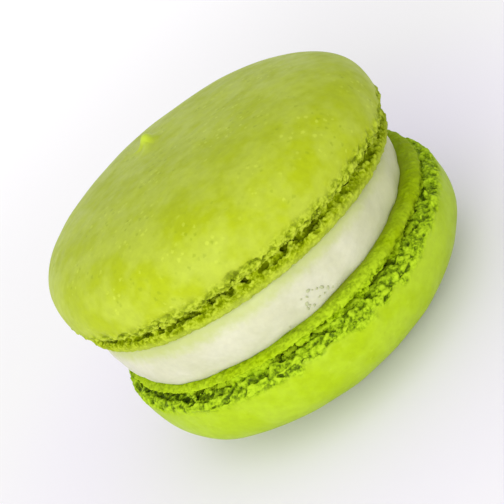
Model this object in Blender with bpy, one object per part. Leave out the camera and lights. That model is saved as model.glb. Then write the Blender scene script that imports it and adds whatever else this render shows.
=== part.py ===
"""One french macaron: two domed almond shells on their frilled feet, with a disc of cream between them.

Lengths are in metres and +Z is up. The macaron lies on the flattened crown of its bottom shell. The
origin is on the table, under the middle of the macaron's outline, and the cream is thickest on the
-Y side, where the top shell sits a little open.
"""

import math

import bmesh
import bpy
from mathutils import Euler, Vector, noise

MM = 0.001

# The two shells. Each is one baked piece: a smooth dome, a lip, a ragged crevice and a collar.
SHELL_RADIUS = 23.0 * MM
DOME_POWER = 2.86  # 2 makes half an ellipse, and more makes a boxier dome
TOP_DOME_HEIGHT = 9.3 * MM
BOTTOM_DOME_HEIGHT = 10.65 * MM
TOP_FOOT_HEIGHT = 4.0 * MM
BOTTOM_FOOT_HEIGHT = 3.2 * MM
TOP_COLLAR_RADIUS = 22.0 * MM
BOTTOM_COLLAR_RADIUS = 21.8 * MM
COLLAR_ROUND = 1.0 * MM  # how far the collar's edge curves in to the flat inner face
COLLAR_SHARE = 0.52  # of the foot's height that the collar takes
CREVICE_SHARE = 0.66  # of the foot's height at which the crevice is deepest
CREVICE_DEPTH = 1.1 * MM
CROWN_RADIUS = 8.0 * MM  # the flattened middle of the bottom shell, on which the macaron rests

# The piping tip's mark on the top shell: a small point that the batter didn't settle.
TIP_CENTRE = Vector((-2.0 * MM, 5.9 * MM))
TIP_RADIUS = 1.25 * MM
TIP_HEIGHT = 1.0 * MM
TIP_RINGS = (1.9, 1.3, 0.8, 0.4, 0.0)  # radii of the rings that shape it, in TIP_RADIUS

# The cream filling, between the shells' flat inner faces.
FILLING_THICKNESS = 5.0 * MM  # from face to face at the middle
FILLING_LOWER_RADIUS = 20.2 * MM
FILLING_UPPER_RADIUS = 20.7 * MM
FILLING_BULGE = 0.45 * MM
CLEARANCE = 0.3 * MM  # left between two pieces that touch

# How the three pieces sit: the top shell leans back and to the right, and nothing is quite centred.
TOP_LEAN = Euler((math.radians(-4.0), math.radians(2.6), 0.0))
TOP_SHIFT = Vector((-0.4 * MM, 0.1 * MM, 0.0))
FILLING_SHIFT = Vector((-0.8 * MM, 0.0, 0.0))

# Handmade unevenness: how far a surface wanders, and how wide one swelling is.
OUTLINE_WANDER, OUTLINE_SIZE = 0.35 * MM, 16.0 * MM
DOME_WANDER, DOME_SIZE = 0.22 * MM, 9.0 * MM
FRILL_WANDER, FRILL_SIZE = 0.75 * MM, 2.6 * MM
SEAM_WANDER, SEAM_SIZE = 0.40 * MM, 8.0 * MM
CREAM_WANDER, CREAM_SIZE = 0.30 * MM, 6.0 * MM

SEGMENTS = 72
COLLAR_STEPS = 4
LIP_STEPS = 3
DOME_STEPS = 13
CREAM_STEPS = 6
WELD = 0.001 * MM
SMOOTH_ANGLE = math.radians(50.0)

SHELL_COLOUR = (0.445, 0.540, 0.034, 1.0)
FILLING_COLOUR = (0.830, 0.820, 0.575, 1.0)
SHELL_ROUGHNESS = 0.55
FILLING_ROUGHNESS = 0.45


def clear_scene():
    for obj in list(bpy.data.objects):
        bpy.data.objects.remove(obj, do_unlink=True)


def make_material(name, colour, roughness):
    material = bpy.data.materials.new(name)
    material.use_nodes = True
    material.diffuse_color = colour
    shader = material.node_tree.nodes["Principled BSDF"]
    shader.inputs["Base Color"].default_value = colour
    shader.inputs["Roughness"].default_value = roughness
    shader.inputs["Metallic"].default_value = 0.0
    return material


def wander(point, size, amount, seed):
    """Soft unevenness at a point: swellings about `size` across and up to `amount` high."""
    return amount * noise.noise(point / size + Vector((seed, -seed, 0.5 * seed)))


def arc(centre, width, height, start, end, steps):
    """Points (radius, height) along an elliptical arc, in degrees from +X towards +Z."""
    points = []
    for step in range(steps + 1):
        angle = math.radians(start + (end - start) * step / steps)
        points.append((centre[0] + width * math.cos(angle), centre[1] + height * math.sin(angle)))
    return points


def dome_rise(radius, dome_height):
    """Height of the dome above its rim, at a distance from the axis."""
    share = min(radius / SHELL_RADIUS, 1.0)
    return dome_height * (1.0 - share**DOME_POWER) ** (1.0 / DOME_POWER)


def foot_outline(foot_height, collar_radius):
    """The foot's outline: the flat inner face, out over the collar, in to the crevice and out to the rim."""
    collar_half = 0.5 * COLLAR_SHARE * foot_height
    collar_centre = (collar_radius - COLLAR_ROUND, collar_half)
    collar = arc(collar_centre, COLLAR_ROUND, collar_half, -90, 60, COLLAR_STEPS)
    crevice_radius = collar_radius - CREVICE_DEPTH
    crevice_height = CREVICE_SHARE * foot_height
    lip = arc(
        (crevice_radius, foot_height),
        SHELL_RADIUS - crevice_radius,
        foot_height - crevice_height,
        -90,
        0,
        LIP_STEPS,
    )
    return [(0.0, 0.0)] + collar + lip


def dome_outline(foot_height, dome_height, crown_radius):
    """The dome's outline from just above the rim to its crown. A crown radius of zero leaves a point."""
    points = []
    for step in range(1, DOME_STEPS + 1):
        swing = math.radians(90.0 * step / (DOME_STEPS + 1))
        radius = crown_radius + (SHELL_RADIUS - crown_radius) * math.cos(swing) ** (2.0 / DOME_POWER)
        points.append((radius, foot_height + dome_rise(radius, dome_height)))
    return points


def spin_outline(name, outline, material):
    """Turn an outline about Z into one closed, smooth mesh object."""
    mesh = bmesh.new()
    corners = [mesh.verts.new((radius, 0.0, height)) for radius, height in outline]
    edges = [mesh.edges.new(pair) for pair in zip(corners, corners[1:])]
    bmesh.ops.spin(
        mesh,
        geom=corners + edges,
        cent=(0.0, 0.0, 0.0),
        axis=(0.0, 0.0, 1.0),
        angle=math.tau,
        steps=SEGMENTS,
        use_merge=True,
    )
    bmesh.ops.remove_doubles(mesh, verts=mesh.verts, dist=WELD)
    bmesh.ops.recalc_face_normals(mesh, faces=mesh.faces)
    data = bpy.data.meshes.new(name)
    mesh.to_mesh(data)
    mesh.free()
    data.materials.append(material)
    obj = bpy.data.objects.new(name, data)
    bpy.context.collection.objects.link(obj)
    return obj


def fade(value, start, end):
    """0 at start and 1 at end, with no corner at either."""
    share = min(max((value - start) / (end - start), 0.0), 1.0)
    return share * share * (3.0 - 2.0 * share)


def frill_foot(obj, foot_height, seed):
    """Push the collar, crevice and lip in and out and up and down, ragged like risen batter."""
    for vertex in obj.data.vertices:
        place = vertex.co.copy()
        radius = math.hypot(place.x, place.y)
        if radius < 0.5 * SHELL_RADIUS or place.z > 2.0 * foot_height:
            continue
        above_face = fade(place.z, 0.0, 0.2 * foot_height)
        below_rim = 1.0 - fade(place.z, 0.75 * foot_height, foot_height)
        push = wander(place, FRILL_SIZE, FRILL_WANDER, seed) * above_face * below_rim
        vertex.co.x *= 1.0 + push / radius
        vertex.co.y *= 1.0 + push / radius
        around = Vector((place.x, place.y, 0.0)).normalized() * SHELL_RADIUS
        below_dome = 1.0 - fade(place.z, foot_height, 2.0 * foot_height)
        vertex.co.z += wander(around, SEAM_SIZE, SEAM_WANDER, seed) * above_face * below_dome


def roughen_outline(obj, seed):
    """Let the whole shell wander off a true circle, all its heights together."""
    for vertex in obj.data.vertices:
        around = Vector((vertex.co.x, vertex.co.y, 0.0))
        if around.length < 0.5 * SHELL_RADIUS:
            continue
        rim_point = around.normalized() * SHELL_RADIUS
        push = wander(rim_point, OUTLINE_SIZE, OUTLINE_WANDER, seed)
        push *= fade(around.length, 0.5 * SHELL_RADIUS, 0.85 * SHELL_RADIUS)
        vertex.co += around.normalized() * push


def roughen_dome(obj, foot_height, flat_radius, seed):
    """Raise and lower the dome softly, but leave its rim and a flattened crown alone."""
    for vertex in obj.data.vertices:
        radius = math.hypot(vertex.co.x, vertex.co.y)
        weight = fade(vertex.co.z, foot_height, 1.8 * foot_height)
        if flat_radius:
            weight *= fade(radius, flat_radius, 1.7 * flat_radius)
        vertex.co.z += weight * wander(vertex.co, DOME_SIZE, DOME_WANDER, seed)


def draw_crown_to_tip(obj, foot_height, dome_height):
    """Slide the dome's rings so that they close on the piping tip's mark, and raise its small point."""
    for vertex in obj.data.vertices:
        from_tip = math.hypot(vertex.co.x, vertex.co.y)
        if vertex.co.z <= foot_height or from_tip >= SHELL_RADIUS:
            continue
        slide = (1.0 - from_tip / SHELL_RADIUS) ** 1.5
        vertex.co.x += TIP_CENTRE.x * slide
        vertex.co.y += TIP_CENTRE.y * slide
        radius = math.hypot(vertex.co.x, vertex.co.y)
        point = TIP_HEIGHT * math.exp(-((from_tip / TIP_RADIUS) ** 2))
        vertex.co.z = foot_height + dome_rise(radius, dome_height) + point


def make_bottom_shell(material):
    """The shell that the macaron lies on, modelled dome up and then turned over."""
    crown_height = BOTTOM_FOOT_HEIGHT + dome_rise(CROWN_RADIUS, BOTTOM_DOME_HEIGHT)
    outline = foot_outline(BOTTOM_FOOT_HEIGHT, BOTTOM_COLLAR_RADIUS)
    outline += dome_outline(BOTTOM_FOOT_HEIGHT, BOTTOM_DOME_HEIGHT, CROWN_RADIUS)
    outline += [(CROWN_RADIUS, crown_height), (0.0, crown_height)]
    shell = spin_outline("shell_bottom", outline, material)
    frill_foot(shell, BOTTOM_FOOT_HEIGHT, seed=3.7)
    roughen_dome(shell, BOTTOM_FOOT_HEIGHT, CROWN_RADIUS, seed=8.1)
    roughen_outline(shell, seed=5.3)
    shell.rotation_euler = (math.pi, 0.0, 0.0)
    shell.location = (0.0, 0.0, crown_height)
    return shell, crown_height


def make_top_shell(material, face_height):
    """The shell on top, which leans on the cream."""
    outline = foot_outline(TOP_FOOT_HEIGHT, TOP_COLLAR_RADIUS)
    outline += dome_outline(TOP_FOOT_HEIGHT, TOP_DOME_HEIGHT, 2.5 * TIP_RADIUS)
    outline += [(share * TIP_RADIUS, TOP_FOOT_HEIGHT + TOP_DOME_HEIGHT) for share in TIP_RINGS]
    shell = spin_outline("shell_top", outline, material)
    draw_crown_to_tip(shell, TOP_FOOT_HEIGHT, TOP_DOME_HEIGHT)
    frill_foot(shell, TOP_FOOT_HEIGHT, seed=1.9)
    roughen_dome(shell, TOP_FOOT_HEIGHT, 0.0, seed=2.4)
    roughen_outline(shell, seed=6.6)
    shell.rotation_euler = TOP_LEAN
    shell.location = TOP_SHIFT + Vector((0.0, 0.0, face_height))
    return shell


def make_filling(material, lower_face, upper_face):
    """The cream: a bulging disc whose upper face follows the top shell's lean."""
    outline = [(0.0, 0.0)]
    for step in range(CREAM_STEPS + 1):
        share = step / CREAM_STEPS
        radius = FILLING_LOWER_RADIUS + (FILLING_UPPER_RADIUS - FILLING_LOWER_RADIUS) * share
        outline.append((radius + FILLING_BULGE * math.sin(math.pi * share), share))
    outline.append((0.0, 1.0))
    filling = spin_outline("filling", outline, material)
    up = TOP_LEAN.to_matrix() @ Vector((0.0, 0.0, 1.0))
    for vertex in filling.data.vertices:
        share = vertex.co.z
        around = Vector((vertex.co.x, vertex.co.y, 0.0))
        if around.length > 0.5 * FILLING_LOWER_RADIUS:
            swell = 0.4 + math.sin(math.pi * share)
            place = around + Vector((0.0, 0.0, share * FILLING_THICKNESS))
            vertex.co += around.normalized() * swell * wander(place, CREAM_SIZE, CREAM_WANDER, 4.2)
        seat = Vector((vertex.co.x, vertex.co.y, 0.0)) + FILLING_SHIFT - TOP_SHIFT
        ceiling = upper_face - CLEARANCE - (seat.x * up.x + seat.y * up.y) / up.z
        floor = lower_face + CLEARANCE
        vertex.co.z = floor + share * (ceiling - floor)
    filling.location = FILLING_SHIFT
    return filling


def stand_on_origin(pieces):
    """Parent the pieces to one empty, and set it so that the origin is under the middle of their box."""
    stand = bpy.data.objects.new("macaron", None)
    bpy.context.collection.objects.link(stand)
    bpy.context.view_layer.update()
    corners = [piece.matrix_world @ vertex.co for piece in pieces for vertex in piece.data.vertices]
    for piece in pieces:
        piece.parent = stand
    low = Vector(min(corner[axis] for corner in corners) for axis in range(3))
    high = Vector(max(corner[axis] for corner in corners) for axis in range(3))
    stand.location = (-0.5 * (low.x + high.x), -0.5 * (low.y + high.y), -low.z)


def main():
    clear_scene()
    shell_material = make_material("shell", SHELL_COLOUR, SHELL_ROUGHNESS)
    filling_material = make_material("filling", FILLING_COLOUR, FILLING_ROUGHNESS)
    bottom, lower_face = make_bottom_shell(shell_material)
    upper_face = lower_face + FILLING_THICKNESS
    top = make_top_shell(shell_material, upper_face)
    filling = make_filling(filling_material, lower_face, upper_face)
    pieces = [bottom, top, filling]
    for piece in pieces:
        piece.data.shade_smooth()
        piece.data.set_sharp_from_angle(angle=SMOOTH_ANGLE)
    stand_on_origin(pieces)


main()
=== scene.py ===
# %% [markdown]
# # A green macaron
#
# A macaron is two almond meringue shells with cream between them. Each shell is baked in one piece, but it
# has two faces: the smooth skin, which dried before the oven, and the foot, the frill of batter that boiled
# out from under the skin and set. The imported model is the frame: it says how large everything is and where
# it sits. New pieces stand in for its plain solids. The skin and the foot of each shell are two closed
# meshes here, because they need different spacing, and they meet out of sight, deep in the crevice.

# %% Load the frame
import math

import bpy
import numpy as np
from mathutils import Euler, Matrix, Vector, noise


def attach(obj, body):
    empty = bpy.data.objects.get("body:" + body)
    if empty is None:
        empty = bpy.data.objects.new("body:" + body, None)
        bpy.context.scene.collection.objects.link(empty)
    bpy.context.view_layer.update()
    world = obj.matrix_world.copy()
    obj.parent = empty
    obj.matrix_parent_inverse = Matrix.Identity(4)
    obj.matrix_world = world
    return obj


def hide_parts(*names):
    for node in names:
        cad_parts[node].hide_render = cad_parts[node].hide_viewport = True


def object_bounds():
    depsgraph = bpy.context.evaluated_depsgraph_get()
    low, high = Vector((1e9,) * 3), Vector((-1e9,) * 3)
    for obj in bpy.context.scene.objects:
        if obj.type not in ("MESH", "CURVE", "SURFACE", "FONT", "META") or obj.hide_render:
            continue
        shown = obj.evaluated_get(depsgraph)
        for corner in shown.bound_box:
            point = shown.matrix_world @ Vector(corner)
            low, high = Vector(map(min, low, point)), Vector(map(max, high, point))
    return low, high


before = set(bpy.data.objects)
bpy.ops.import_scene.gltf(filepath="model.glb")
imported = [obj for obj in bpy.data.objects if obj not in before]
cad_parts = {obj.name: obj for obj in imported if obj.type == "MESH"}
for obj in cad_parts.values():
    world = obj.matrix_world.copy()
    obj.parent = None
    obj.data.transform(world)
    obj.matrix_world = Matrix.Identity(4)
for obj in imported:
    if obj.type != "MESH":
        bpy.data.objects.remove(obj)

BODY = "root"
MM = 0.001
cad_box = [list(corner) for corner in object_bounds()]
print("CAD box in mm:", [[round(x / MM, 2) for x in corner] for corner in cad_box])

# %% [markdown]
# ## The sizes of a macaron
#
# A baker measures a shell from its flat inner face. First comes the rounded collar that touches the cream,
# then the crevice, then the lip of the skin, which is the widest place, and then the dome. The same few
# sizes drive both shells. They could be typed in as places, but the frame already knows where the macaron
# stands, so its axis is read from the flat spot that the bottom shell rests on.

# %% Sizes, and the places that the frame gives
SHELL_RADIUS = 23.0 * MM
DOME_POWER = 2.86  # 2 makes half an ellipse, and more makes a boxier dome
TOP_DOME, TOP_FOOT, TOP_COLLAR = 9.3 * MM, 4.0 * MM, 22.0 * MM
BOTTOM_DOME, BOTTOM_FOOT, BOTTOM_COLLAR = 10.65 * MM, 3.2 * MM, 21.8 * MM
CROWN_RADIUS = 8.0 * MM  # the flat spot under the bottom shell
COLLAR_ROUND = 1.0 * MM  # how far the collar's edge curves in to the inner face
COLLAR_SHARE = 0.52  # of the foot's height that the collar takes
CREVICE_SHARE = 0.66  # of the foot's height at which the crevice is deepest
CREVICE_DEPTH = 1.1 * MM
FILLING_THICKNESS = 5.0 * MM
TOP_LEAN = Euler((math.radians(-4.0), math.radians(2.6), 0.0))
TOP_SHIFT = Vector((-0.4 * MM, 0.1 * MM, 0.0))
FILLING_SHIFT = Vector((-0.8 * MM, 0.0, 0.0))
UPSIDE_DOWN = Euler((math.pi, 0.0, 0.0))


def dome_rise(radius, dome):
    """Height of a dome above its rim, at a distance from its axis."""
    return dome * (1.0 - min(radius / SHELL_RADIUS, 1.0) ** DOME_POWER) ** (1.0 / DOME_POWER)


resting = [v.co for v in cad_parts["shell_bottom"].data.vertices if v.co.z < 0.01 * MM]
AXIS = Vector((
    (min(c.x for c in resting) + max(c.x for c in resting)) / 2,
    (min(c.y for c in resting) + max(c.y for c in resting)) / 2,
    0.0))
LOWER_FACE = BOTTOM_FOOT + dome_rise(CROWN_RADIUS, BOTTOM_DOME)
UPPER_FACE = LOWER_FACE + FILLING_THICKNESS
BOTTOM_SEAT = AXIS + Vector((0.0, 0.0, LOWER_FACE))
TOP_SEAT = AXIS + TOP_SHIFT + Vector((0.0, 0.0, UPPER_FACE))
print("axis in mm:", [round(x / MM, 3) for x in AXIS])
print("inner faces in mm:", round(LOWER_FACE / MM, 2), "and", round(UPPER_FACE / MM, 2))

# %% [markdown]
# ## Turning an outline
#
# Shells and cream are round, so each piece is turned as on a potter's wheel. An outline is drawn by
# extruding one vertex from point to point, and the Screw modifier turns it about the upright axis. The Spin
# tool would do as well, but Screw can be told how many steps it takes. Subdivision Surface isn't used: it is
# slow and pinches where hundreds of faces meet at a pole, so the outline itself has points enough. The
# outline's points come from arcs and lines, thinned out by a walk along them.

# %% Taking a piece in hand, and turning an outline
WELD = 0.002 * MM


def put_down():
    """Go to object mode with nothing selected."""
    if bpy.context.mode != "OBJECT":
        bpy.ops.object.mode_set(mode="OBJECT")
    bpy.ops.object.select_all(action="DESELECT")


def take(piece):
    """Make this piece the only one selected, and the active one."""
    put_down()
    piece.select_set(True)
    bpy.context.view_layer.objects.active = piece


def settle():
    """Put the active piece's place, turn and size into its mesh."""
    bpy.ops.object.transform_apply(location=True, rotation=True, scale=True)


def turn_outline(name, outline, steps):
    """Draw an outline of (radius, height) points by extruding one vertex, and turn it into a closed piece."""
    put_down()
    bpy.ops.mesh.primitive_plane_add(size=MM, location=(outline[0][0], 0.0, outline[0][1]))
    piece = bpy.context.active_object
    piece.name = piece.data.name = name
    settle()
    bpy.ops.object.mode_set(mode="EDIT")
    bpy.ops.mesh.select_all(action="SELECT")
    bpy.ops.mesh.merge(type="CENTER")
    for start, end in zip(outline, outline[1:]):
        stroke = (end[0] - start[0], 0.0, end[1] - start[1])
        bpy.ops.mesh.extrude_region_move(TRANSFORM_OT_translate={"value": stroke})
    bpy.ops.object.mode_set(mode="OBJECT")
    bpy.ops.object.modifier_add(type="SCREW")
    wheel = piece.modifiers[-1]
    wheel.steps = wheel.render_steps = steps
    wheel.use_merge_vertices = True
    wheel.merge_threshold = WELD
    bpy.ops.object.modifier_apply(modifier=wheel.name)
    bpy.ops.object.mode_set(mode="EDIT")
    bpy.ops.mesh.select_all(action="SELECT")
    bpy.ops.mesh.remove_doubles(threshold=WELD)
    bpy.ops.mesh.normals_make_consistent(inside=False)
    bpy.ops.object.mode_set(mode="OBJECT")
    bpy.ops.object.shade_smooth()
    print(name, "turned from", len(outline), "points:", len(piece.data.polygons), "faces")
    return piece


def seat(piece, turn, place):
    """Turn and move a piece to its place, and put that into its mesh."""
    take(piece)
    piece.rotation_euler = turn
    piece.location = place
    settle()


# %% Drawing outlines
def arc(centre, width, height, start, end, steps=200):
    """Points along an elliptical arc, in degrees from the outward direction towards the upward one."""
    swings = [math.radians(start + (end - start) * step / steps) for step in range(steps + 1)]
    return [(centre[0] + width * math.cos(a), centre[1] + height * math.sin(a)) for a in swings]


def line(start, end, steps=100):
    """Points along a straight line."""
    shares = [step / steps for step in range(steps + 1)]
    return [(start[0] + (end[0] - start[0]) * s, start[1] + (end[1] - start[1]) * s) for s in shares]


def thin_out(outline, spacing):
    """Walk along an outline, and keep a point wherever the walk since the last one is as long as wanted."""
    kept = [outline[0]]
    walked = 0.0
    for before, point in zip(outline, outline[1:]):
        walked += math.dist(before, point)
        if walked >= spacing(point):
            kept.append(point)
            walked = 0.0
    if math.dist(kept[-1], outline[-1]) > WELD:
        kept.append(outline[-1])
    return kept


quarter = arc((0.0, 0.0), MM, MM, 0, 90)
print("a quarter circle of", len(quarter), "points thins out to", len(thin_out(quarter, lambda p: 0.3 * MM)))

# %% [markdown]
# ## Roughening a surface
#
# Baked batter is uneven at every size. A Displace modifier pushes a surface in and out by a pattern, and a
# vertex group tells it where to work and how hard. The groups come from rules, such as "more the nearer to
# the crevice", so that the roughness fades where it should. Sculpting by hand would also work, but rules
# give the same macaron every time. Numbers that a material needs later are painted on the vertices.

# %% Rules for where a surface is worked
def soft_step(value, low, high):
    """0 below low and 1 above high, with a smooth way between. High may be the smaller."""
    share = min(max((value - low) / (high - low), 0.0), 1.0)
    return share * share * (3.0 - 2.0 * share)


def patchy(place, size, seed):
    """0 or 1 in soft patches of about this size, about half of each."""
    return soft_step(noise.noise(place / size + Vector((seed, -seed, 0.5 * seed))), -0.12, 0.2)


def pocketed(place, seed, length, threshold=0.04):
    """1 in flat pockets of about this length that run around the shell, and 0 between them."""
    stretched = Vector((place.x / length, place.y / length, place.z / (0.75 * MM)))
    return soft_step(noise.noise(stretched + Vector((seed, 2.0 * seed, -seed))), threshold, threshold + 0.28)


def weigh(piece, name, rule):
    """Make a vertex group whose weights come from a rule on each vertex's place."""
    group = piece.vertex_groups.new(name=name)
    for vertex in piece.data.vertices:
        weight = rule(vertex.co)
        if weight > 0.001:
            group.add([vertex.index], min(weight, 1.0), "REPLACE")


def paint(piece, name, values):
    """Store one number for each vertex, for a material to read."""
    attribute = piece.data.attributes.new(name, "FLOAT", "POINT")
    attribute.data.foreach_set("value", np.asarray(values, np.float32))


print("halfway up a soft step from 2 to 4:", soft_step(3.0, 2.0, 4.0))

# %% Patterns, and pushing a surface by them
def clouds(name, size, depth=2, hard=False):
    """A cloudy pattern whose lumps are about this size."""
    pattern = bpy.data.textures.new(name, type="CLOUDS")
    pattern.noise_scale = size
    pattern.noise_depth = depth
    pattern.noise_type = "HARD_NOISE" if hard else "SOFT_NOISE"
    return pattern


def cells(name, size):
    """A pattern of round cells, darkest at their middles."""
    pattern = bpy.data.textures.new(name, type="VORONOI")
    pattern.noise_scale = size
    return pattern


def displace(piece, pattern, amount, group="", middle=0.5, direction="NORMAL"):
    """Push a surface in and out by a pattern, and apply it."""
    take(piece)
    bpy.ops.object.modifier_add(type="DISPLACE")
    modifier = piece.modifiers[-1]
    modifier.texture = pattern
    modifier.texture_coords = "LOCAL"
    modifier.strength = amount
    modifier.mid_level = middle
    modifier.direction = direction
    modifier.vertex_group = group
    bpy.ops.object.modifier_apply(modifier=modifier.name)


swelling = clouds("dome swelling", 9.0 * MM, depth=1)
wandering = clouds("seam wandering", 7.0 * MM, depth=1)
ruffle = clouds("ruffle", 1.9 * MM)
tear = clouds("tear", 1.2 * MM, hard=True)
bubbles = cells("burst bubbles", 0.95 * MM)
rubble = clouds("rubble", 0.75 * MM, hard=True)
pebbles = cells("pebbles", 0.45 * MM)
grain = clouds("grain", 0.25 * MM)
print("patterns:", ", ".join(pattern.name for pattern in bpy.data.textures))

# %% [markdown]
# ## How deep a place lies
#
# The hollows of a torn crumb are painted darker than its peaks, as the shade that falls in them. A material
# can't see the shape around a point, so the depth is measured beforehand: the rough piece is compared with a
# copy that the Smooth modifier has ironed flat, and the distance between the two is painted on the vertices.

# %% Measure and paint the hollows
SMOOTH_PASSES = 40


def corners_of(piece, what):
    """The places ("co") or normals ("normal") of all vertices, as an array with three columns."""
    flat = np.empty(len(piece.data.vertices) * 3, np.float32)
    piece.data.vertices.foreach_get(what, flat)
    return flat.reshape(-1, 3)


def paint_hollows(piece):
    """Compare a rough piece with a smoothed copy of itself, and paint how deep each place lies, in mm."""
    take(piece)
    bpy.ops.object.duplicate()
    copy = bpy.context.active_object
    bpy.ops.object.modifier_add(type="SMOOTH")
    modifier = copy.modifiers[-1]
    modifier.factor = 0.5
    modifier.iterations = SMOOTH_PASSES
    bpy.ops.object.modifier_apply(modifier=modifier.name)
    apart = corners_of(copy, "co") - corners_of(piece, "co")
    depth = (apart * corners_of(copy, "normal")).sum(axis=1) / MM
    spare = copy.data
    bpy.ops.object.delete()
    bpy.data.meshes.remove(spare)
    paint(piece, "hollow", depth)
    print(piece.name, "stands up to", round(-float(depth.min()), 2), "mm proud of its smooth shape")


print("each comparison irons a copy", SMOOTH_PASSES, "times")

# %% [markdown]
# ## The skins
#
# The skin of a shell is a low dome that dried to a thin, even crust. Its edge rolls under into a lip, which
# ends in the crevice. Its outline is therefore the lip's arc and then the dome's curve, which is boxier than
# a sphere's. A sphere squashed by scaling could pass for a dome, but not for the lip. The rim gets points
# four times as close as the dome, because the tears there are the finest shapes on the skin.

# %% Turn the skins
SKIN_STEPS = 880


def skin_outline(dome, foot, collar):
    """From the hidden middle out to the crevice, under the lip, over the rim and up to the crown."""
    crevice = collar - CREVICE_DEPTH
    hidden = 0.9 * foot
    under = arc((crevice, foot), SHELL_RADIUS - crevice, (1.0 - CREVICE_SHARE) * foot, -90, 0)
    over = []
    for swing in np.linspace(0.0, math.pi / 2, 2000)[1:]:
        radius = SHELL_RADIUS * max(math.cos(swing), 0.0) ** (2.0 / DOME_POWER)
        over.append((radius, foot + dome_rise(radius, dome)))

    def spacing(point):
        return (0.11 + 0.34 * soft_step(point[1], foot * 1.25, foot * 2.1)) * MM

    inside = [(0.0, hidden), (crevice - 3.0 * MM, hidden), (crevice - 1.5 * MM, hidden)]
    return inside + thin_out(under + over, spacing)


top_skin = turn_outline("top_skin", skin_outline(TOP_DOME, TOP_FOOT, TOP_COLLAR), SKIN_STEPS)
bottom_outline = skin_outline(BOTTOM_DOME, BOTTOM_FOOT, BOTTOM_COLLAR)
bottom_skin = turn_outline("bottom_skin", bottom_outline, SKIN_STEPS)

# %% [markdown]
# ## Where the skins are torn
#
# The lip tore where the batter boiled out under it, and the tear runs ragged along the rim. On the bottom
# shell it climbs about a millimetre up the dome, less at both ends. One rule says how torn each place is. It
# steers the roughening, and a material reads it to show crumb in place of dried skin. At the far left of the
# bottom shell the lip has sunk away from the collar, and a long dark slit is left between them, which is
# painted darker still, as painted shade.

# %% Weigh the skins
TORN_BAND = 0.7 * MM  # how softly the tear ends, above and below its edge


def weigh_skin(skin, dome, foot, collar, flat_radius, torn_height, right_share, slit_share):
    """Give a skin, still in its own place, the weights that roughening needs."""
    outer = collar - CREVICE_DEPTH - 1.6 * MM
    seed = 10.0 * dome / MM

    def torn(c):
        reach = torn_height * (0.35 + 0.65 * soft_step(c.x, -16.0 * MM, -4.0 * MM))
        reach *= 1.0 - (1.0 - right_share) * soft_step(c.x, 10.0 * MM, 18.0 * MM)
        edge = foot + reach * (0.65 + 1.1 * noise.noise(c / (1.6 * MM) + Vector((seed, 0.0, 0.0))))
        at_rim = soft_step(c.xy.length, outer, outer + 0.8 * MM)
        return soft_step(c.z, edge + TORN_BAND, edge - TORN_BAND) * at_rim

    def slit(c):
        radius = c.xy.length
        under_lip = soft_step(radius, 19.5 * MM, 20.5 * MM) * soft_step(radius, 22.2 * MM, 21.6 * MM)
        on_left = soft_step(c.x, -12.0 * MM, -15.5 * MM)
        return slit_share * under_lip * on_left * soft_step(c.z, foot, 0.86 * foot)

    def domed(c):
        off_crown = soft_step(c.xy.length, flat_radius, flat_radius + 6.0 * MM) if flat_radius else 1.0
        return soft_step(c.z, foot, foot * 1.8) * off_crown

    weigh(skin, "lip", torn)
    weigh(skin, "pockets", lambda c: torn(c) * pocketed(c, seed, 1.7 * MM))
    weigh(skin, "slit", slit)
    weigh(skin, "seam", lambda c: soft_step(c.z, foot * 2.0, foot))
    weigh(skin, "dome", domed)
    paint(skin, "torn", [torn(v.co) for v in skin.data.vertices])
    # Painted shade: the slit under the lip is painted darker, on top of its real shadow.
    paint(skin, "pocket", [0.4 * slit(v.co) for v in skin.data.vertices])
    print(skin.name, "has the groups", ", ".join(group.name for group in skin.vertex_groups))


weigh_skin(top_skin, TOP_DOME, TOP_FOOT, TOP_COLLAR, 0.0, 0.45 * MM, 1.0, 0.0)
weigh_skin(bottom_skin, BOTTOM_DOME, BOTTOM_FOOT, BOTTOM_COLLAR, CROWN_RADIUS, 1.0 * MM, 0.2, 1.0)

# %% [markdown]
# ## The piping tip's mark
#
# Where the piping tip left the batter it drew up a small point, which didn't settle: a ragged peak about two
# millimetres wide, with a low tail that trails towards the front. A cone could be joined on, but a point
# that grows out of the dome has no seam, so the dome's own vertices are raised by a rule.

# %% Raise the point
TIP_CENTRE = Vector((-2.0 * MM, 5.9 * MM))
TIP_RADIUS = 1.15 * MM
TIP_HEIGHT = 1.1 * MM
TIP_TAIL = Vector((-0.9 * MM, -2.5 * MM))
TAIL_WIDTH = 0.65 * MM
TAIL_SHARE = 0.65  # of the peak's height


def tip(c):
    """How much of the point's height a place on the dome takes."""
    off = c.xy - TIP_CENTRE
    ragged = TIP_RADIUS * (1.0 + 0.4 * noise.noise(c / (0.9 * MM)))
    along = min(max(off.dot(TIP_TAIL) / TIP_TAIL.length_squared, 0.0), 1.0)
    aside = (off - along * TIP_TAIL).length / TAIL_WIDTH
    tail = TAIL_SHARE * (1.0 - 0.7 * along) * math.exp(-(aside**2))
    return max(math.exp(-((off.length / ragged) ** 2.5)), tail) * (c.z > TOP_FOOT)


weigh(top_skin, "tip", tip)
paint(top_skin, "tip_mark", [tip(v.co) for v in top_skin.data.vertices])
displace(top_skin, None, TIP_HEIGHT, "tip", middle=0.0)
crown = max(v.co.z for v in top_skin.data.vertices)
print("the point's peak is", round(crown / MM, 2), "mm above the inner face")

# %% [markdown]
# ## Make the skins uneven
#
# The skins are seated first, so that the patterns fall on them where they stand and no two rims are alike.
# Then come the shapes from the largest to the smallest: swellings of the dome, the wandering seam, the torn
# edge, and the crumb in the tear. The top shell's tear is the rougher.

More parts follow.
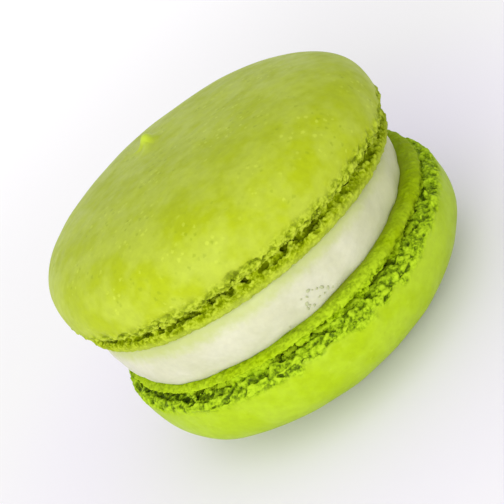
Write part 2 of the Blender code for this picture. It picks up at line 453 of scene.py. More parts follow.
# %% Seat and roughen the skins
seat(top_skin, TOP_LEAN, TOP_SEAT)
seat(bottom_skin, UPSIDE_DOWN, BOTTOM_SEAT)
for skin, coarse in ((top_skin, 0.28 * MM), (bottom_skin, 0.17 * MM)):
    displace(skin, swelling, 0.45 * MM, "dome")
    displace(skin, wandering, 0.7 * MM, "seam", direction="Z")
    displace(skin, tear, 0.7 * MM, "lip", direction="Z")
    displace(skin, ruffle, 0.3 * MM, "lip")
    displace(skin, None, -0.35 * MM, "pockets", middle=0.0)
    displace(skin, None, -0.25 * MM, "slit", middle=0.0)
    displace(skin, bubbles, coarse, "lip")
    displace(skin, rubble, coarse, "lip")
    displace(skin, pebbles, -0.3 * coarse, "lip", middle=0.45)
    displace(skin, grain, 0.06 * MM, "lip")
    paint_hollows(skin)

# %% [markdown]
# The bottom shell lies on its crown, and the weight of the macaron presses the crown flat. The swellings
# have pushed a few places a hair below the plate, so those are selected and scaled to nothing in height.

# %% Press the crown flat on the plate
take(bottom_skin)
bpy.ops.object.mode_set(mode="EDIT")
bpy.ops.mesh.select_mode(type="VERT")
bpy.ops.mesh.select_all(action="DESELECT")
bpy.ops.object.mode_set(mode="OBJECT")
pressed = [vertex for vertex in bottom_skin.data.vertices if vertex.co.z < 0.0]
for vertex in pressed:
    vertex.select = True
bpy.ops.object.mode_set(mode="EDIT")
bpy.ops.transform.resize(value=(1.0, 1.0, 0.0), center_override=(0.0, 0.0, 0.0))
bpy.ops.object.mode_set(mode="OBJECT")
lowest = min(vertex.co.z for vertex in bottom_skin.data.vertices)
print(len(pressed), "vertices pressed, and the lowest is now at", round(lowest / MM, 3), "mm")

# %% [markdown]
# ## The feet
#
# The foot is a crumb of burst bubbles: folds two or three millimetres long, bubbles under a millimetre, and
# grain finer than that. Next to the cream it ends in a smoother, rounded collar. One closed ring is turned
# for each shell, with points under a tenth of a millimetre apart, dense enough to hold that grain. Piling up
# small balls is another way to make a crumb, but they never join as batter does.

# %% Turn the feet
FOOT_STEPS = 1200


def foot_outline(foot, collar):
    """From the middle of the flat inner face, out over the collar, and in and up through the crevice."""
    half = 0.5 * COLLAR_SHARE * foot
    inner = collar - COLLAR_ROUND
    crevice = collar - CREVICE_DEPTH
    deepest = (crevice, CREVICE_SHARE * foot)
    face = line((inner - 2.0 * MM, 0.0), (inner, 0.0))
    side = arc((inner, half), COLLAR_ROUND, half, -90, 60)
    wall = line(side[-1], deepest) + line(deepest, (crevice - 0.3 * MM, 0.95 * foot))

    def spacing(point):
        return 0.22 * MM if point[0] < inner and point[1] < 0.1 * foot else 0.088 * MM

    hidden = [(crevice - 2.0 * MM, 0.98 * foot), (0.0, 0.98 * foot)]
    return [(0.0, 0.0), (0.7 * inner, 0.0)] + thin_out(face + side + wall, spacing) + hidden


top_foot = turn_outline("top_foot", foot_outline(TOP_FOOT, TOP_COLLAR), FOOT_STEPS)
bottom_foot = turn_outline("bottom_foot", foot_outline(BOTTOM_FOOT, BOTTOM_COLLAR), FOOT_STEPS)

# %% [markdown]
# ## Where the feet are frilled
#
# The frill grows rougher from the collar up to the crevice, where flat pockets open between bridges of
# batter. The bottom foot has a smooth side: on the right its collar is calmer and painted darker, as shade,
# and the pockets close at the far end. On the left they run together, and their painted shade is deepest.
# The top foot carries a smear of cream along its lower edge. Each of these is a rule on the place.

# %% Weigh the feet
def weigh_foot(ring, foot, collar, frilled_from, smooth_side, pocket_length):
    """Give a foot, still in its own place, its weights and painted numbers. A smooth side is 1 or 0."""
    inner = collar - COLLAR_ROUND
    seed = 3.0 * foot / MM

    def outer(c):
        return soft_step(c.xy.length, inner - 1.6 * MM, inner)

    def calm(c):
        return smooth_side * soft_step(c.x, 4.0 * MM, 14.0 * MM)

    def far_right(c):
        return smooth_side * soft_step(c.x, 14.0 * MM, 19.0 * MM)

    def frill(c):
        start = frilled_from * foot
        return soft_step(c.z, start, start + 0.25 * foot) * outer(c)

    def pocket(c):
        threshold = 0.04 - 0.3 * soft_step(c.x, 6.0 * MM, -10.0 * MM)
        in_crevice = soft_step(c.z, 0.42 * foot, 0.58 * foot) * (1.0 - far_right(c))
        return in_crevice * outer(c) * pocketed(c, seed, pocket_length, threshold)

    def bridge(c):
        between = max(1.0 - pocketed(c, seed, pocket_length, -0.2), far_right(c))
        return soft_step(c.z, 0.5 * foot, 0.6 * foot) * outer(c) * between

    # Painted shade in the pockets, strongest on the left.
    def shaded(c):
        return pocket(c) * (1.0 + 1.2 * soft_step(c.x, 2.0 * MM, -8.0 * MM))

    # Painted shade: the right of the bottom foot's collar is painted darker, in blotches.
    def right_shade(c):
        blotched = 0.6 + 0.4 * patchy(c, 1.3 * MM, seed)
        return soft_step(c.x, 3.0 * MM, 15.0 * MM) * soft_step(c.z, 0.75 * foot, 0.4 * foot) * blotched

    weigh(ring, "seam", lambda c: soft_step(c.z, 0.0, foot) * outer(c))
    weigh(ring, "frill", frill)
    weigh(ring, "collar", lambda c: outer(c) * (1.0 - 0.4 * calm(c)))
    weigh(ring, "burst", lambda c: frill(c) * patchy(c, 2.6 * MM, seed))
    weigh(ring, "pockets", pocket)
    weigh(ring, "bridges", bridge)
    corners = [v.co for v in ring.data.vertices]
    paint(ring, "torn", [0.5 + 0.5 * frill(c) for c in corners])
    # The pocket number painted next is painted shade, which the crumb colour reads.
    paint(ring, "pocket", [shaded(c) for c in corners])
    paint(ring, "smear", [soft_step(c.z, 0.32 * foot, 0.05 * foot) for c in corners])
    # Painted shade for the right side of the collar.
    paint(ring, "right_shade", [right_shade(c) for c in corners])
    print(ring.name, "has the groups", ", ".join(group.name for group in ring.vertex_groups))


weigh_foot(top_foot, TOP_FOOT, TOP_COLLAR, 0.15, 0.0, 1.6 * MM)
weigh_foot(bottom_foot, BOTTOM_FOOT, BOTTOM_COLLAR, 0.2, 1.0, 2.5 * MM)

# %% [markdown]
# ## Where the cream shades the bottom shell
#
# A thin dark line of painted shade lies on the collar right beside the cream, at the front and right, where
# the two meet. It could be drawn in the material by distance, but the cream isn't centred on the shell, so
# the line is painted where the cream's edge will be.

# %% Seat the feet, and paint the shade line
# Where the painted shade line lies, as distances from the cream's middle.
CONTACT_SHADE_OUTER, CONTACT_SHADE_INNER = 20.95 * MM, 20.45 * MM
cream_middle = (AXIS + FILLING_SHIFT).xy
seat(top_foot, TOP_LEAN, TOP_SEAT)
seat(bottom_foot, UPSIDE_DOWN, BOTTOM_SEAT)


# Painted shade: a dark line on the collar just outside the cream's edge, at the front and right only.
def contact_shaded(c):
    away = (c.xy - cream_middle).length + 0.5 * MM * noise.noise(c / (0.9 * MM))
    near_face = soft_step(c.z, LOWER_FACE - 0.7 * MM, LOWER_FACE - 0.3 * MM)
    return soft_step(away, CONTACT_SHADE_OUTER, CONTACT_SHADE_INNER) * near_face * soft_step(c.x, -5.0 * MM, 3.0 * MM)


contact_shade = [contact_shaded(v.co) for v in bottom_foot.data.vertices]
paint(top_foot, "contact_shade", [0.0] * len(top_foot.data.vertices))
paint(bottom_foot, "contact_shade", contact_shade)
print("stained vertices:", sum(share > 0.5 for share in contact_shade))

# %% [markdown]
# ## Fold, burst and crumble the feet
#
# The order matters: a pocket pushed in after the grain would stretch the grain, so the large shapes come
# first. Bubbles burst only in patches, and the grain covers everything but the hidden faces.

# %% Roughen the feet
for ring, hole, burst in ((top_foot, 0.8 * MM, 0.5 * MM), (bottom_foot, 1.8 * MM, 0.35 * MM)):
    displace(ring, wandering, 0.7 * MM, "seam", direction="Z")
    displace(ring, ruffle, 0.6 * MM, "frill")
    displace(ring, None, -hole, "pockets", middle=0.0)
    displace(ring, None, 0.5 * MM, "bridges", middle=0.0)
    displace(ring, bubbles, burst, "burst")
    displace(ring, rubble, 0.3 * MM, "frill")
    displace(ring, ruffle, 0.25 * MM, "collar")
    displace(ring, bubbles, 0.16 * MM, "collar")
    displace(ring, rubble, 0.16 * MM, "collar")
    displace(ring, pebbles, -0.12 * MM, "collar", middle=0.45)
    displace(ring, grain, 0.04 * MM, "collar")
    paint_hollows(ring)

# %% [markdown]
# ## The batter rose less on one side
#
# On the left the bottom shell's rim sits closer to its inner face than on the right. Skin and foot are
# lowered there together, which here means moved up, because this shell lies upside down. The rule leaves
# the inner face and the resting crown where they are, so that the macaron still stands and meets its cream.

# %% Lower one side of the bottom shell
LOW_SIDE = 0.85 * MM


def rose_less(c):
    """The share of the drop at a place: none at the inner face, all at the crevice, none high on the dome."""
    depth = LOWER_FACE - c.z
    across = soft_step(c.x, 8.0 * MM, -8.0 * MM)
    off_face = soft_step(depth, 0.0, 0.6 * BOTTOM_FOOT)
    return across * off_face * soft_step(depth, BOTTOM_FOOT + 5.0 * MM, BOTTOM_FOOT)


for piece in (bottom_skin, bottom_foot):
    weigh(piece, "low side", rose_less)
    displace(piece, None, LOW_SIDE, "low side", middle=0.0, direction="Z")
print("the bottom shell's rim is up to", LOW_SIDE / MM, "mm nearer to its face on the left")

# %% [markdown]
# ## The cream
#
# The cream was piped as a flat round and pressed out between the shells. Its side bulges a little, and its
# upper face follows the lean of the top shell. An outline that is turned comes out level, so the level round
# is tipped afterwards inside a lattice cage: the side stretches evenly from the lower face to the upper one.
# It reaches a little way into both shells, so that no gap shows between them.

# %% Turn the cream
CREAM_STEPS = 700
CREAM_LOWER, CREAM_UPPER = 20.2 * MM, 20.7 * MM  # its radius against each shell
CREAM_BULGE = 0.5 * MM
CREAM_EDGE = 0.5 * MM  # how far the side rounds in at the faces
CREAM_SINK = 0.25 * MM
CREAM_RINGS = 64

outline = [(0.0, -CREAM_SINK), (CREAM_LOWER - 2.0 * MM, -CREAM_SINK)]
height = FILLING_THICKNESS + 2.0 * CREAM_SINK
for ring in range(CREAM_RINGS + 1):
    share = ring / CREAM_RINGS
    radius = CREAM_LOWER + (CREAM_UPPER - CREAM_LOWER) * share
    radius += CREAM_BULGE * math.sin(math.pi * share) - CREAM_EDGE * abs(2.0 * share - 1.0) ** 8
    outline.append((radius, share * height - CREAM_SINK))
outline += [(CREAM_UPPER - 2.0 * MM, height - CREAM_SINK), (0.0, height - CREAM_SINK)]
cream = turn_outline("cream", outline, CREAM_STEPS)
seat(cream, Euler(), AXIS + FILLING_SHIFT + Vector((0.0, 0.0, LOWER_FACE)))
paint(cream, "rise", [(v.co.z - LOWER_FACE) / FILLING_THICKNESS for v in cream.data.vertices])

# %% Tip its upper face
half_up = Vector((0.0, 0.0, LOWER_FACE + 0.5 * FILLING_THICKNESS))
put_down()
bpy.ops.object.add(type="LATTICE", location=AXIS + FILLING_SHIFT + half_up)
cage = bpy.context.active_object
cage.data.points_u = cage.data.points_v = cage.data.points_w = 2
cage.data.interpolation_type_u = "KEY_LINEAR"
cage.data.interpolation_type_v = "KEY_LINEAR"
cage.data.interpolation_type_w = "KEY_LINEAR"
cage.scale = (2.2 * CREAM_UPPER, 2.2 * CREAM_UPPER, FILLING_THICKNESS)
bpy.context.view_layer.update()
for point in cage.data.points:
    point.select = point.co.z > 0.0
bpy.ops.object.mode_set(mode="EDIT")
for turn, axis in ((TOP_LEAN.x, "X"), (TOP_LEAN.y, "Y")):
    bpy.ops.transform.rotate(value=-turn, orient_axis=axis, center_override=TOP_SEAT)
bpy.ops.object.mode_set(mode="OBJECT")
take(cream)
bpy.ops.object.modifier_add(type="LATTICE")
cream.modifiers[-1].object = cage
bpy.ops.object.modifier_apply(modifier=cream.modifiers[-1].name)
take(cage)
bpy.ops.object.delete()
highest = max(v.co.z for v in cream.data.vertices)
print("the cream's highest edge is", round((highest - UPPER_FACE) / MM, 2), "mm above the top shell's seat")

# %% [markdown]
# Cream keeps the marks of the press and of the spatula: shallow dents a few millimetres wide, and a faint
# smear between them. Only its side is worked, because the rest is out of sight.

# %% Dent and smear the side
SIDE_FROM, SIDE_FULL = CREAM_LOWER - 3.0 * MM, CREAM_LOWER - 1.0 * MM
weigh(cream, "side", lambda c: soft_step((c - AXIS).xy.length, SIDE_FROM, SIDE_FULL))
displace(cream, clouds("cream dents", 5.0 * MM, depth=1), 0.6 * MM, "side")
displace(cream, clouds("cream smear", 1.3 * MM), 0.1 * MM, "side")
print("the cream has", len(cream.data.polygons), "faces")

# %% [markdown]
# ## Crumbs on the cream
#
# A few crumbs fell from the feet and stuck to the cream at the front, low down. One is made from a ball whose
# surface is pushed about by clouds, and the others are turned, resized copies of it. A ray sent in from the
# front finds where each one lands, so that it touches the cream wherever the dents lie.

# %% Make one crumb
CRUMB_SIZE = 0.42 * MM
put_down()
bpy.ops.mesh.primitive_ico_sphere_add(subdivisions=3, radius=0.5 * CRUMB_SIZE, location=(0.0, 0.0, 0.0))
pattern_crumb = bpy.context.active_object
displace(pattern_crumb, clouds("crumb lumps", 0.16 * MM, depth=1), 0.16 * MM)
print("one crumb has", len(pattern_crumb.data.polygons), "faces")

# %% Stick copies to the cream, and join them
CRUMB_PLACES = (  # across and above the lower face in mm, and how large
    (0.67, 2.9, 1.0), (-0.34, 1.75, 1.2), (-0.55, 1.1, 0.9), (1.53, 2.3, 0.8), (2.05, 1.95, 1.1),
    (2.58, 1.3, 0.9), (-0.47, 2.65, 0.6), (-3.4, 0.7, 0.7), (0.15, 2.45, 0.7), (1.2, 1.3, 0.6),
    (-0.15, 1.3, 0.6), (0.2, 0.9, 0.8), (1.9, 1.1, 0.7), (1.1, 2.6, 0.5), (3.0, 0.9, 0.6),
)
crumbs = []
for number, (across, above, size) in enumerate(CRUMB_PLACES):
    take(pattern_crumb)
    bpy.ops.object.duplicate()
    crumb = bpy.context.active_object
    start = AXIS + Vector((across * MM, -40.0 * MM, LOWER_FACE + above * MM))
    found, place, way, face = cream.ray_cast(start, Vector((0.0, 1.0, 0.0)))
    crumb.scale = (1.3 * size, 0.6 * size, 0.8 * size)
    seat(crumb, Euler((1.3 * number, 2.1 * number, 0.7 * number)), place + 0.05 * CRUMB_SIZE * way)
    crumbs.append(crumb)
take(pattern_crumb)
bpy.ops.object.delete()
take(crumbs[0])
for crumb in crumbs:
    crumb.select_set(True)
bpy.ops.object.join()
crumbs = bpy.context.active_object
crumbs.name = crumbs.data.name = "crumbs"
settle()
bpy.ops.object.shade_smooth()
print(len(CRUMB_PLACES), "crumbs joined:", len(crumbs.data.polygons), "faces")

# %% [markdown]
# ## Materials
#
# Every colour and finish below is worked out by nodes from the piece's own coordinates and from the numbers
# painted on it, so nothing has to be unwrapped. Patterns of two or three sizes are laid over each other,
# because food is never one even colour. These helpers keep each step of a node tree on one line.

# %% Helpers for nodes
def add_node(tree, kind, inputs=None, **settings):
    """Add a node, set its settings, and give each named input a value or a link."""
    made = tree.nodes.new(kind)
    for name, value in settings.items():
        setattr(made, name, value)
    for socket, value in (inputs or {}).items():
        if isinstance(value, bpy.types.NodeSocket):
            tree.links.new(value, made.inputs[socket])
        else:
            made.inputs[socket].default_value = value
    return made


def cloud_value(tree, place, size, detail=3.0, roughness=0.55):
    """Noise between 0 and 1 whose lumps are about this size."""
    inputs = {"Vector": place, "Scale": 1.0 / size, "Detail": detail, "Roughness": roughness}
    return add_node(tree, "ShaderNodeTexNoise", inputs).outputs["Fac"]


def remap(tree, value, low, high, to_low=0.0, to_high=1.0):
    """Bring a value from one range to another, smoothly and without leaving it."""
    inputs = {"Value": value, "From Min": low, "From Max": high, "To Min": to_low, "To Max": to_high}
    return add_node(tree, "ShaderNodeMapRange", inputs, interpolation_type="SMOOTHSTEP").outputs["Result"]


def maths(tree, operation, first, second):
    """One sum of two values."""
    return add_node(tree, "ShaderNodeMath", {0: first, 1: second}, operation=operation).outputs[0]


def vector_maths(tree, operation, first, second, output="Vector"):
    """One sum of two places, whose result is a place too, or the number wanted."""
    return add_node(tree, "ShaderNodeVectorMath", {0: first, 1: second}, operation=operation).outputs[output]


def opaque(colour):
    """Red, green and blue as a socket wants them, with a fourth number, or a link as it is."""
    return (*colour, 1.0) if isinstance(colour, tuple) else colour


def mix(tree, share, first, second, blend="MIX"):
    """Mix two colours, by a share between 0 and 1."""
    inputs = {0: share, 6: opaque(first), 7: opaque(second)}
    return add_node(tree, "ShaderNodeMix", inputs, data_type="RGBA", blend_type=blend).outputs[2]


def painted(tree, name, share=1.0):
    """Read a share of a number painted on the vertices."""
    number = add_node(tree, "ShaderNodeAttribute", attribute_name=name).outputs["Fac"]
    return maths(tree, "MULTIPLY", number, share)


def start_material(name, *pieces):
    """A new material on some pieces: its tree, its shader and the pieces' own coordinates."""
    material = bpy.data.materials.new(name)
    material.use_nodes = True
    for piece in pieces:
        piece.data.materials.append(material)
    tree = material.node_tree
    place = add_node(tree, "ShaderNodeTexCoord").outputs["Object"]
    print("material", name, "on", ", ".join(piece.name for piece in pieces))
    return tree, tree.nodes["Principled BSDF"], place


def wrinkle(tree, shader, height, distance, strength):
    """Let a bump play on the light, where a shape is too fine to model."""
    bump = add_node(tree, "ShaderNodeBump", {"Height": height, "Distance": distance, "Strength": strength})
    tree.links.new(bump.outputs["Normal"], shader.inputs["Normal"])


# %% [markdown]
# ## The green of the dried skin
#
# The batter was coloured a yellow green, and almond meal makes it uneven. Soft patches half a centimetre wide
# come first, then a mottle a millimetre wide. Here and there lies a fleck of ground almond, lighter or
# darker than the skin and rather less than a millimetre wide. The flecks are Voronoi cells, of which only a
# few are coloured in, and clouds push the cells about so that they are ragged and not round.

# %% The colour of dried skin
SKIN_PATCH, SKIN_MOTTLE = 5.0 * MM, 1.1 * MM
FLECK_SIZE = 0.7 * MM
LIGHT_FLECK, DARK_FLECK = (0.52, 0.61, 0.06), (0.20, 0.27, 0.003)
TIP_GREEN = (0.50, 0.64, 0.04)


def fleck_shares(tree, place, most):
    """How much of a light and of a dark fleck lies at each place."""
    clouds_in_three = {"Vector": place, "Scale": 1.0 / (0.35 * MM), "Detail": 2.0}
    frayed = add_node(tree, "ShaderNodeTexNoise", clouds_in_three).outputs["Color"]
    push = vector_maths(tree, "MULTIPLY", frayed, (0.5 * MM, 0.5 * MM, 0.5 * MM))
    cells_at = {"Vector": vector_maths(tree, "ADD", place, push), "Scale": 1.0 / FLECK_SIZE}
    flecks = add_node(tree, "ShaderNodeTexVoronoi", cells_at)
    chance = add_node(tree, "ShaderNodeSeparateColor", {"Color": flecks.outputs["Color"]}).outputs["Red"]
    here = remap(tree, cloud_value(tree, place, 6.0 * MM, 2.0), 0.42, 0.6, 0.1 * most, most)
    inside = maths(tree, "MULTIPLY", remap(tree, flecks.outputs["Distance"], 0.42, 0.18), here)
    light = maths(tree, "MULTIPLY", inside, maths(tree, "GREATER_THAN", chance, 0.72))
    dark = maths(tree, "MULTIPLY", inside, maths(tree, "LESS_THAN", chance, 0.28))
    return light, dark


def skin_colour(tree, place, pale, rich, flecked):
    """Dried skin: patches, mottle, flecks and the paler point where the piping tip left."""
    patches = remap(tree, cloud_value(tree, place, SKIN_PATCH), 0.4, 0.62)
    mottle = remap(tree, cloud_value(tree, place, SKIN_MOTTLE, 4.0, 0.65), 0.3, 0.7, 0.95, 1.05)
    light, dark = fleck_shares(tree, place, flecked)
    colour = mix(tree, 1.0, mix(tree, patches, pale, rich), mottle, "MULTIPLY")
    colour = mix(tree, light, colour, LIGHT_FLECK)
    colour = mix(tree, dark, colour, DARK_FLECK)
    return mix(tree, painted(tree, "tip_mark", 0.9), colour, TIP_GREEN)


print("a fleck is", FLECK_SIZE / MM, "mm wide")

# %% [markdown]
# ## The green of the crumb
#
# Where the batter tore, its inside shows. Its hollows are painted a darker green than its peaks, as the shade
# that falls in them, so the colour follows the depth that was painted on the vertices, with a little grain
# added. The pockets of the bottom foot get more painted shade still. Beside the cream the top foot is smeared
# pale, the right of the bottom foot is painted darker as shade, and a thin line of painted shade lies over
# its collar next to the cream.

# %% The colour of torn crumb
SMEAR_COLOUR = (0.48, 0.54, 0.16)
# Painted shade on the right of the bottom foot.
RIGHT_SHADE_COLOUR = (0.11, 0.15, 0.001)
# The dark green of the painted shade line beside the cream.
CONTACT_SHADE_COLOUR = (0.12, 0.13, 0.012)
# Painted shade: the greens darken from the peaks to the hollows, standing in for the shade that falls in
# them.
TOP_CRUMB_SHADE_RAMP = (  # from the peaks to the deepest hollows
    (0.0, (0.41, 0.50, 0.03)),
    (0.33, (0.24, 0.315, 0.002)),
    (0.55, (0.16, 0.215, 0.0005)),
    (0.85, (0.11, 0.145, 0.0)),
)
BOTTOM_CRUMB_SHADE_RAMP = (
    (0.0, (0.38, 0.55, 0.012)),
    (0.33, (0.235, 0.37, 0.002)),
    (0.55, (0.13, 0.21, 0.0005)),
    (0.85, (0.05, 0.088, 0.0)),
)


def shaded_crumb_colour(tree, place, stops, smeared, right_shading, pocket_shading):
    """Torn crumb: coloured by its depth, darker in its hollows as painted shade, and then by what was painted
    on it.
    """
    grain_sized = remap(tree, cloud_value(tree, place, 0.28 * MM, 2.0, 0.6), 0.3, 0.7, -0.1, 0.1)
    crumb_sized = remap(tree, cloud_value(tree, place, 0.8 * MM, 2.0, 0.6), 0.35, 0.65, -0.12, 0.12)
    uneven = maths(tree, "ADD", grain_sized, crumb_sized)
    # Painted shade: deeper places, and the painted pockets, take the darker greens.
    deep = maths(tree, "ADD", painted(tree, "hollow"), painted(tree, "pocket", pocket_shading))
    depth = remap(tree, maths(tree, "ADD", deep, uneven), -0.25, 0.45)
    ramp = add_node(tree, "ShaderNodeValToRGB", {"Fac": depth})
    while len(ramp.color_ramp.elements) < len(stops):
        ramp.color_ramp.elements.new(0.5)
    for element, (position, colour) in zip(ramp.color_ramp.elements, stops):
        element.position = position
        element.color = opaque(colour)
    crumb = mix(tree, painted(tree, "smear", smeared), ramp.outputs["Color"], SMEAR_COLOUR)
    # Painted shade on the right of the bottom foot.
    crumb = mix(tree, painted(tree, "right_shade", right_shading), crumb, RIGHT_SHADE_COLOUR)
    # Painted shade line beside the cream.
    return mix(tree, painted(tree, "contact_shade"), crumb, CONTACT_SHADE_COLOUR)


print("crumb goes through", len(TOP_CRUMB_SHADE_RAMP), "greens from its peaks to its hollows")

# %% [markdown]
# ## Put skin and crumb together
#
# The skin has a faint satin gleam, and the crumb is matt. How torn each place is decides which of the two
# colours shows, and it makes the surface rougher. The gleam's level can't be mixed the same way, since it is
# one number for a whole material, so skins and feet get a material each, and four come from one function.

# %% The four shell materials
SKIN_GLEAM, CRUMB_GLEAM = 0.14, 0.02


def shell_material(name, piece, greens, crumb_look, gleam):
    tree, shader, place = start_material(name, piece)
    torn = painted(tree, "torn")
    skin = skin_colour(tree, place, *greens)
    crumb = shaded_crumb_colour(tree, place, *crumb_look)
    tree.links.new(mix(tree, torn, skin, crumb), shader.inputs["Base Color"])
    satin = remap(tree, cloud_value(tree, place, 2.0 * MM), 0.3, 0.7, 0.42, 0.56)
    tree.links.new(maths(tree, "ADD", satin, painted(tree, "torn", 0.3)), shader.inputs["Roughness"])
    shader.inputs["Specular IOR Level"].default_value = gleam
    pores, waves = cloud_value(tree, place, 0.4 * MM, 2.0), cloud_value(tree, place, 1.4 * MM, 2.0)
    fine = maths(tree, "ADD", pores, waves)
    wrinkle(tree, shader, fine, 0.02 * MM, 0.1)


TOP_GREENS = ((0.373, 0.448, 0.032), (0.335, 0.410, 0.003), 0.42)
BOTTOM_GREENS = ((0.36, 0.50, 0.016), (0.33, 0.465, 0.002), 0.15)
# The last two numbers of each look set the painted shade on the right of the foot and in its pockets.
TOP_LOOK = (TOP_CRUMB_SHADE_RAMP, 0.3, 0.3, 0.0)  # its greens, and how far it is smeared, dulled and deepened
BOTTOM_LOOK = (BOTTOM_CRUMB_SHADE_RAMP, 0.0, 0.9, 0.3)
shell_material("top skin", top_skin, TOP_GREENS, TOP_LOOK, SKIN_GLEAM)
shell_material("top foot", top_foot, TOP_GREENS, TOP_LOOK, CRUMB_GLEAM)
shell_material("bottom skin", bottom_skin, BOTTOM_GREENS, BOTTOM_LOOK, SKIN_GLEAM)
shell_material("bottom foot", bottom_foot, BOTTOM_GREENS, BOTTOM_LOOK, CRUMB_GLEAM)

# %% [markdown]
# ## The cream's finish
#
# Butter cream is off-white, with a soft sheen, and light goes a little way into it, which subsurface
# scattering shows. It turns darker and greener along a ragged line under the top shell, and its right end
# is painted darker and greener, as shade on the side away from the light. Its bump is finer than the
# dents: the trace of the spatula.

# %% The cream
CREAM_PALE, CREAM_RICH = (0.55, 0.545, 0.40), (0.51, 0.51, 0.345)
# The second colour is painted shade for the cream's right end.
CREAM_UNDER_SHELL, CREAM_RIGHT_SHADE = (0.42, 0.47, 0.14), (0.41, 0.435, 0.19)

tree, shader, place = start_material("cream", cream)
clotted = remap(tree, cloud_value(tree, place, 4.0 * MM), 0.35, 0.65)
streaks = remap(tree, cloud_value(tree, place, 0.7 * MM, 4.0), 0.3, 0.7, 0.96, 1.02)
ragged = remap(tree, cloud_value(tree, place, 0.9 * MM), 0.2, 0.8, -0.05, 0.05)
under_top_shell = remap(tree, maths(tree, "ADD", painted(tree, "rise"), ragged), 0.62, 0.92, 0.0, 0.85)
across = add_node(tree, "ShaderNodeSeparateXYZ", {"Vector": place}).outputs["X"]
# Painted shade: darker and greener towards the right end.
shade_on_right = remap(tree, across, 5.0 * MM, 18.0 * MM, 0.0, 0.75)
colour = mix(tree, 1.0, mix(tree, clotted, CREAM_RICH, CREAM_PALE), streaks, "MULTIPLY")
colour = mix(tree, under_top_shell, colour, CREAM_UNDER_SHELL)
colour = mix(tree, shade_on_right, colour, CREAM_RIGHT_SHADE)
tree.links.new(colour, shader.inputs["Base Color"])
sheen = remap(tree, cloud_value(tree, place, 1.5 * MM), 0.3, 0.7, 0.4, 0.52)
tree.links.new(sheen, shader.inputs["Roughness"])
shader.inputs["Specular IOR Level"].default_value = 0.35
shader.inputs["Subsurface Weight"].default_value = 0.25
shader.inputs["Subsurface Radius"].default_value = (1.0, 0.9, 0.6)
shader.inputs["Subsurface Scale"].default_value = 1.0 * MM
wrinkle(tree, shader, cloud_value(tree, place, 0.6 * MM, 3.0), 0.04 * MM, 0.5)

# %% [markdown]
# The crumbs are dry, dusted with almond and coated with a little cream, so they are matt and greyer than the
# feet that they fell from. Clouds a third of a millimetre wide keep any two of them from looking alike.

# %% The crumbs
tree, shader, place = start_material("crumb", crumbs)
colour = mix(tree, cloud_value(tree, place, 0.3 * MM), (0.30, 0.33, 0.16), (0.52, 0.54, 0.34))
tree.links.new(colour, shader.inputs["Base Color"])
shader.inputs["Roughness"].default_value = 0.8
shader.inputs["Specular IOR Level"].default_value = 0.1
wrinkle(tree, shader, cloud_value(tree, place, 0.1 * MM, 2.0), 0.01 * MM, 0.3)

# %% [markdown]
# ## Tie the pieces to the frame
#
# Each new piece rides on the macaron's one body and stands for the solid whose place it takes. A skin and a
# foot together stand for one shell. The crumbs stand for nothing, because the frame is too coarse for them.

# %% Ride and replace
STANDS_FOR = (
    (top_skin, "shell_top", "shell"),
    (top_foot, "shell_top", "shell"),
    (bottom_skin, "shell_bottom", "shell"),
    (bottom_foot, "shell_bottom", "shell"),
    (cream, "filling", "filling"),
)
for piece, node, slot in STANDS_FOR:
    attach(piece, BODY)
    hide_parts(node)
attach(crumbs, BODY)
print("pieces:", ", ".join(piece.name for piece, node, slot in STANDS_FOR), "and", crumbs.name)

# %% [markdown]
# ## The floor
#
# The macaron stands on a white plate that fades into the light. A white floor under a soft light never comes
# out quite white, and it picks up green beside the macaron. A faint glow of its own lifts the floor. The glow
# changes in rings: neutral underneath, violet where the green falls, which it cancels, and strong and nearly
# white far away. A soft contact shadow stays.

# %% A pale floor
put_down()
bpy.ops.mesh.primitive_plane_add(size=12.0, location=(0.0, 0.0, -0.02 * MM))
floor = bpy.context.active_object
floor.name = "floor"
tree, shader, place = start_material("pale floor", floor)
away = vector_maths(tree, "DISTANCE", place, tuple(AXIS), "Value")
glow = mix(tree, remap(tree, away, 12.0 * MM, 28.0 * MM), (0.05, 0.049, 0.057), (0.05, 0.03, 0.135))
glow = mix(tree, remap(tree, away, 35.0 * MM, 70.0 * MM), glow, (0.08, 0.082, 0.117))
glow = mix(tree, remap(tree, away, 60.0 * MM, 300.0 * MM), glow, (0.40, 0.395, 0.448))
tree.links.new(glow, shader.inputs["Emission Color"])
shader.inputs["Base Color"].default_value = (0.80, 0.787, 0.765, 1.0)
shader.inputs["Emission Strength"].default_value = 1.0
shader.inputs["Roughness"].default_value = 0.9
shader.inputs["Specular IOR Level"].default_value = 0.1

# %% [markdown]
# ## The light
#
# Window light fills a white room from everywhere, brightest near the horizon and dimmer from the right, so
# the room is a background whose strength follows the direction. One large area light low at the front left
# gives the dome its gentle shading. A small lamp would cast a hard shadow, which a window doesn't.

# %% A soft white room and one window
KEY_AZIMUTH, KEY_ELEVATION = math.radians(-20.0), math.radians(18.0)
KEY_DISTANCE, KEY_SIZE, KEY_POWER = 0.9, 0.5, 5.4

scene = bpy.context.scene
world = bpy.data.worlds.new("soft white room")
scene.world = world
world.use_nodes = True
tree = world.node_tree
sky_place = add_node(tree, "ShaderNodeTexCoord").outputs["Generated"]
way = add_node(tree, "ShaderNodeSeparateXYZ", {"Vector": sky_place})
overhead = remap(tree, way.outputs["Z"], 0.05, 0.6, 1.14, 0.94)
from_right = remap(tree, way.outputs["X"], 0.1, 1.0, 1.0, 0.7)
backdrop = tree.nodes["Background"]
backdrop.inputs["Color"].default_value = (1.0, 1.0, 1.0, 1.0)
tree.links.new(maths(tree, "MULTIPLY", overhead, from_right), backdrop.inputs["Strength"])

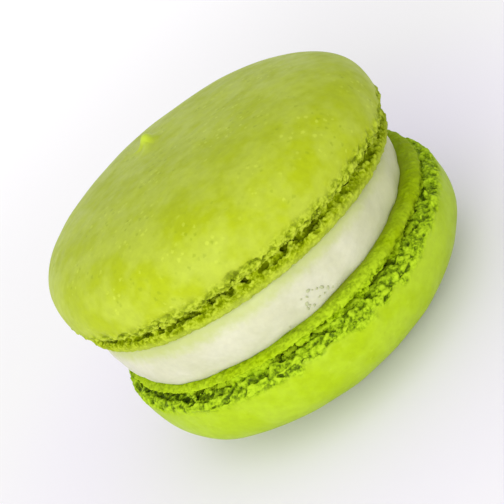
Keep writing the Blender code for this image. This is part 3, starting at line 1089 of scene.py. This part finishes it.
middle = sum((Vector(corner) for corner in cad_box), Vector()) / 2
to_key = Vector((
    math.sin(KEY_AZIMUTH) * math.cos(KEY_ELEVATION),
    -math.cos(KEY_AZIMUTH) * math.cos(KEY_ELEVATION),
    math.sin(KEY_ELEVATION)))
put_down()
bpy.ops.object.light_add(type="AREA", location=middle + KEY_DISTANCE * to_key)
key = bpy.context.active_object
key.name = "window"
key.rotation_euler = to_key.to_track_quat("Z", "Y").to_euler()
key.data.size = KEY_SIZE
key.data.energy = KEY_POWER
scene.view_settings.view_transform = "Standard"
scene.view_settings.look = "None"
print("window light", KEY_SIZE, "m wide,", KEY_DISTANCE, "m away")

# %% [markdown]
# ## The camera
#
# A close portrait: the camera stands about four macarons away, looks down at 24 degrees, and is rolled by 41
# degrees, as if it were held by hand. Its turn is built from three axes
# instead of angles, because roll and aim get in each other's way when angles are typed in.

# %% The camera
CAMERA_ELEVATION = math.radians(23.9)
CAMERA_ROLL = math.radians(41.35)
CAMERA_DISTANCE = 0.1905
CAMERA_LENS = 113.5
AIM = AXIS + Vector((0.0, 0.0, LOWER_FACE + 4.317 * MM))
AIM_RIGHT, AIM_DOWN = 0.99 * MM, 2.96 * MM

back = Vector((0.0, -math.cos(CAMERA_ELEVATION), math.sin(CAMERA_ELEVATION)))
level_right = Vector((1.0, 0.0, 0.0))
level_up = back.cross(level_right)
image_right = math.cos(CAMERA_ROLL) * level_right - math.sin(CAMERA_ROLL) * level_up
image_up = math.sin(CAMERA_ROLL) * level_right + math.cos(CAMERA_ROLL) * level_up
target = AIM + AIM_RIGHT * image_right - AIM_DOWN * image_up

put_down()
bpy.ops.object.camera_add(location=AIM + back * CAMERA_DISTANCE)
camera = bpy.context.active_object
camera.data.sensor_width = 36.0
camera.data.lens = CAMERA_LENS
look_back = (camera.location - target).normalized()
side_way = image_up.cross(look_back).normalized()
camera.rotation_euler = Matrix((side_way, look_back.cross(side_way), look_back)).transposed().to_euler()
scene.camera = camera
print("the camera stands at", [round(x / MM, 1) for x in camera.location], "mm")
